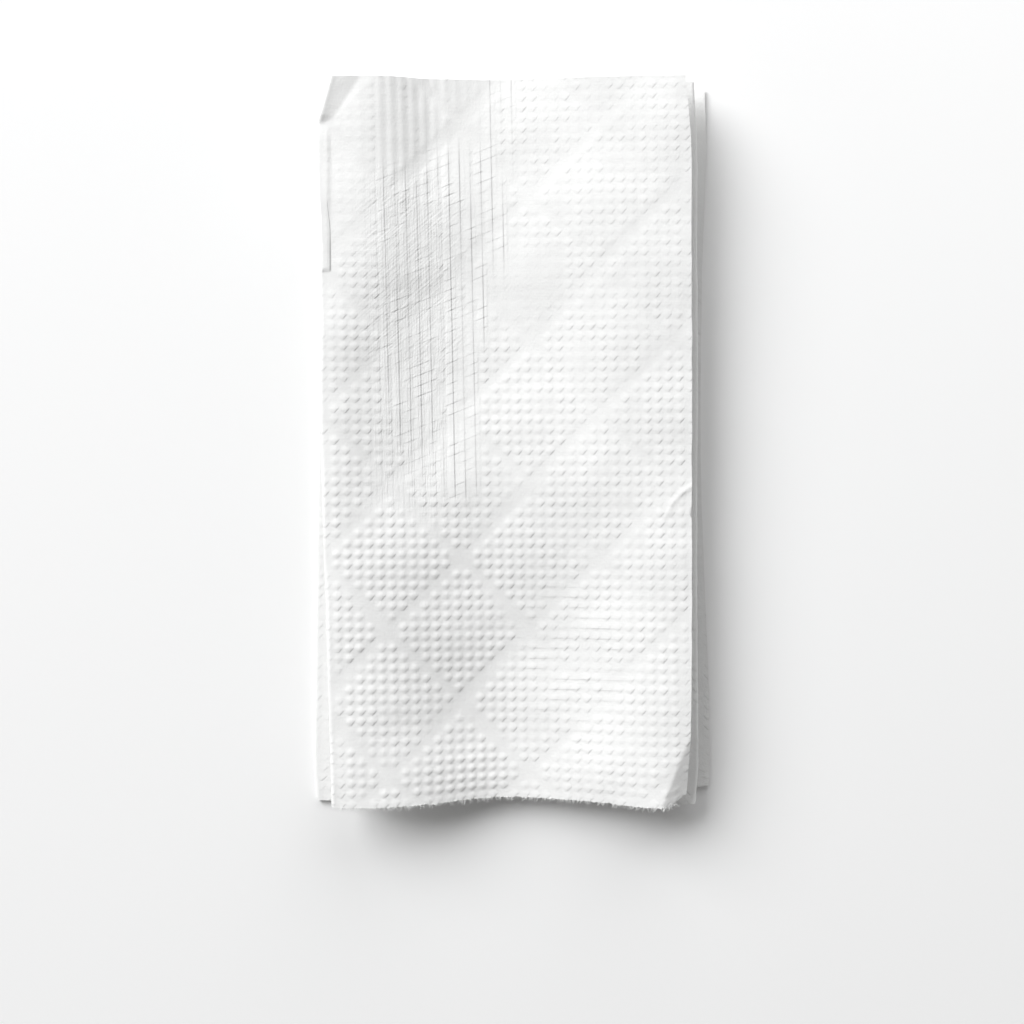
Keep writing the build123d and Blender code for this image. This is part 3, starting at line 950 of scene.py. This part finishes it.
class TowelPaper(Recipe):
    """White two-ply paper: mottled fibres, fine crepe lines, the crisp edges of the embossed dots, and a
    painted shadow in the gap beside the loose strip.
    """

    def __init__(self, owner):
        super().__init__(owner)
        self.place = self.attribute("flat_place", "Vector")
        split = self.node("ShaderNodeSeparateXYZ")
        self.join(self.place, split.inputs["Vector"])
        self.across, self.along, self.ribs = split.outputs
        leaning = self.times_plus(self.along, column_lean, self.across)
        self.column = self.maths("DIVIDE", self.minus(leaning, dot_shift_across), dot_pitch_across)
        self.row = self.maths("DIVIDE", self.minus(self.along, dot_shift_along), dot_pitch_along)
        self.crushed = self.zone(crushed_zone)

        fibres = self.noise(self.place, *fibre_pattern)
        crepe = self.noise(self.place, *crepe_pattern)
        upright, slanting = self.rib_marks()
        normal = self.bumps((
            (fibres, fibre_mark_depth),
            (self.hatching(), hatch_depth),
            (upright, rib_mark_depth),
            (slanting, fold_mark_depth),
            (crepe, crepe_depth),
            (self.dot_marks(), dot_mark_depth),
            (self.row_line_marks(), row_line_depth),
        ))
        mottle = self.times(self.noise(self.place, *mottle_pattern), paper_mottle_share)
        tone = self.mix(self.times_plus(fibres, paper_fibre_share, mottle), paper_shade, paper_white)
        # Shadow is painted dark into the colour in the gap beside the loose strip
        colour = self.mix(self.times(self.strip_gap_shadow(), gap_shadow_strength), tone, gap_shadow_colour)
        shader = self.finish(colour, paper_roughness, paper_gloss)
        self.join(normal, shader.inputs["Normal"])

    def zone(self, fades):
        """1 in a zone of the sheet, fading to 0 at its sides."""
        across_fades, along_fades = fades
        inside = [self.ease(self.across, *fade) for fade in across_fades]
        inside += [self.ease(self.along, *fade) for fade in along_fades]
        return self.times(*inside)

    def dot_marks(self):
        """A short slanting mark at each dot's steep side. Dots stay whole, so that no band cuts one."""
        column, row = self.maths("ROUND", self.column), self.maths("ROUND", self.row)
        off_across = self.times(self.minus(self.column, column), dot_pitch_across)
        off_along = self.times(self.minus(self.row, row), dot_pitch_along)
        to_right, to_front = dot_steep_side
        fall = self.minus(self.times(off_across, to_right), self.times(off_along, to_front))
        beside = self.maths("ADD", self.times(off_across, to_front), self.times(off_along, to_right))
        mark = self.times(self.ease(fall, *mark_foot), self.ease(fall, *mark_top))
        mark = self.times(mark, self.ease(self.maths("ABSOLUTE", beside), *mark_sides))

        # No two alike, and weaker in some places
        each = self.node("ShaderNodeCombineXYZ")
        self.join(column, each.inputs["X"])
        self.join(row, each.inputs["Y"])
        strength = self.ease(self.noise(each.outputs["Vector"], *mark_pattern), *mark_strengths)
        mark = self.times(mark, strength)
        mark = self.times(mark, self.minus(1.0, self.zone(smooth_left_zone)))
        mark = self.times(mark, self.ease(self.ribs, *mark_rib_fade))
        mark = self.times(mark, self.times_plus(self.attribute("faintness", "Fac"), -faint_share, 1.0))
        mark = self.times(mark, self.times_plus(self.zone(back_right_zone), -back_right_loss, 1.0))

        # None in the bands
        along = self.times_plus(row, dot_pitch_along, dot_shift_along)
        leaning = self.times_plus(column, dot_pitch_across, dot_shift_across)
        across = self.times_plus(along, -column_lean, leaning)
        for way, band, reach, more_on_right in bands:
            off = self.times(self.minus(across, lattice_shift_across), sin(slant) / band_spacing)
            lean = way * cos(slant) / band_spacing
            share = self.times_plus(self.minus(along, lattice_shift_along), lean, off)
            distance = self.maths("ABSOLUTE", self.minus(self.maths("FRACT", share), 0.5))
            on_right = self.ease(self.across, 0.0, right_side_start)
            distance = self.times_plus(on_right, more_on_right / band_spacing, distance)
            edge = band / 2 - reach
            mark = self.times(mark, self.ease(distance, edge / band_spacing, (edge + 1) / band_spacing))
        return mark

    def rib_marks(self):
        """Each rib drops steeply at its right, and slanting folds between them drop towards the front."""
        smooth = self.maths("MAXIMUM", self.zone(plain_back_zone), self.zone(smooth_back_zone))
        ribbed = self.times(self.ribs, self.minus(1.0, smooth))
        drop_place, drop_width = rib_drop
        upright = self.times(self.drops(self.minus(self.column, drop_place), drop_width), ribbed)
        drop_place, drop_width = half_rib_drop
        between = self.drops(self.times_plus(self.column, 2.0, -drop_place), drop_width)
        upright = self.times_plus(self.times(between, half_rib_share), self.crushed, upright)

        slant_place = self.times_plus(self.column, fold_slant, self.times(self.row, -1.0))
        slanting = self.drops(slant_place, fold_drop_width)
        creased = self.maths("MAXIMUM", ribbed, self.times(self.crushed, crushed_fold_share))
        broken = self.ease(self.noise(self.place, *fold_pattern), *fold_breaks)
        return upright, self.times(slanting, creased, broken)

    def row_line_marks(self):
        """A low step along the foot of each row of dots, on the front right."""
        broken = self.ease(self.noise(self.place, *row_line_pattern), *row_line_breaks)
        drop_place, drop_width = row_drop
        foot = self.drops(self.minus(drop_place, self.row), drop_width)
        return self.times(foot, self.attribute("row_lines", "Fac"), broken)

    def hatching(self):
        """Close upright and slanting lines where the paper is crushed."""
        upright = self.times(self.noise(self.place, *hatch_pattern), self.crushed)
        turned = self.node("ShaderNodeVectorRotate", rotation_type="Z_AXIS")
        self.join(self.place, turned.inputs["Vector"])
        turned.inputs["Angle"].default_value = radians(hatch_turn)
        slanting = self.noise(turned.outputs["Vector"], *slanting_hatch_pattern)
        slanting = self.times(slanting, slanting_hatch_share)
        return self.times_plus(slanting, self.zone(hatched_zone), upright)

    def strip_gap_shadow(self):
        """Where shadow is painted into the gap beside the loose strip: 1 there, narrowing to the back, and
        0 elsewhere.
        """
        start, end = loose_strip_start, loose_strip_gap_end
        bow = self.ease(self.along, end - gap_bow_length, end)
        middle = self.times_plus(bow, -gap_bow, loose_strip_side)
        widening = self.ease(self.along, end - gap_end_fade, start)
        half = self.times_plus(widening, gap_widening, gap_half_width)
        beside = self.maths("DIVIDE", self.maths("ABSOLUTE", self.minus(self.across, middle)), half)
        at_start = self.ease(self.along, *(start + fade for fade in gap_start_fade))
        at_end = self.ease(self.along, end, end - gap_end_fade)
        return self.times(self.ease(beside, *gap_side_fade), at_start, at_end)


def table_finish():
    """A matte, very pale table top."""
    table = Recipe(bpy.data.materials.new("pale_table"))
    place = table.node("ShaderNodeTexCoord").outputs["Object"]
    tone = table.mix(table.noise(place, *table_pattern), table_shade, table_light)
    table.finish(table.mix(table.seen_straight(), tone, table_seen), table_roughness, table_gloss)
    return table.owner


# ---- Light, table and camera, in metres ----

key_height_angle = 36.0
key_side = (-0.74, 0.673)
key_distance = 4.0
key_size = 3.1
key_power = 173
back_height_angle = 25.0
back_side = (0.25, 0.97)
back_distance = 1.1
back_size = 1.0
back_power = 6.0
lamp_colour = (0.99, 0.995, 1.0)
fill_colour = (1.0, 0.995, 0.98, 1)
fill_level = 0.2
table_size = 4.0
table_top_height = -0.00005
camera_height = 0.496
camera_along = -0.0199
camera_lens = 58.66


def soft_lamp(name, side, height_angle, distance, size, power):
    """A round soft lamp that shines at the middle of the table."""
    rise = radians(height_angle)
    towards = Vector((side[0] * cos(rise), side[1] * cos(rise), sin(rise)))
    light = bpy.data.lights.new(name, "AREA")
    light.shape = "DISK"
    light.size = size
    light.energy = power
    light.color = lamp_colour
    lamp = bpy.data.objects.new(name, light)
    lamp.location = towards * distance
    lamp.rotation_euler = towards.to_track_quat("Z", "Y").to_euler()
    bpy.context.collection.objects.link(lamp)


def pale_room():
    """A dim even fill, and a white backdrop for what is seen past the table."""
    room = Recipe(bpy.data.worlds.new("pale_room"))
    fill = room.nodes["Background"]
    fill.inputs["Color"].default_value = fill_colour
    fill.inputs["Strength"].default_value = fill_level
    backdrop = room.node("ShaderNodeBackground")
    backdrop.inputs["Color"].default_value = (1, 1, 1, 1)
    mixed = room.node("ShaderNodeMixShader")
    room.join(room.seen_straight(), mixed.inputs["Fac"])
    room.join(fill.outputs[0], mixed.inputs[1])
    room.join(backdrop.outputs[0], mixed.inputs[2])
    room.join(mixed.outputs[0], room.nodes["World Output"].inputs["Surface"])
    return room.owner


def studio():
    bpy.ops.mesh.primitive_plane_add(size=table_size, location=(0, 0, table_top_height))
    table = bpy.context.object
    table.name = "table_top"
    table.data.materials.append(table_finish())

    soft_lamp("window_light", key_side, key_height_angle, key_distance, key_size, key_power)
    soft_lamp("back_light", back_side, back_height_angle, back_distance, back_size, back_power)
    bpy.context.scene.world = pale_room()
    bpy.context.scene.view_settings.view_transform = "Standard"

    view = bpy.data.cameras.new("overhead_camera")
    view.lens = camera_lens
    view.clip_start = 0.01
    camera = bpy.data.objects.new("overhead_camera", view)
    camera.location = (0, camera_along, camera_height)
    bpy.context.collection.objects.link(camera)
    bpy.context.scene.camera = camera


studio()
paper = TowelPaper(bpy.data.materials.new("towel_paper")).owner
towel, fibres = folded_towel(), loose_fibres()
for piece in (towel, fibres):
    piece.data.materials.append(paper)
    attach(piece, "root")
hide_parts("folded_towel")
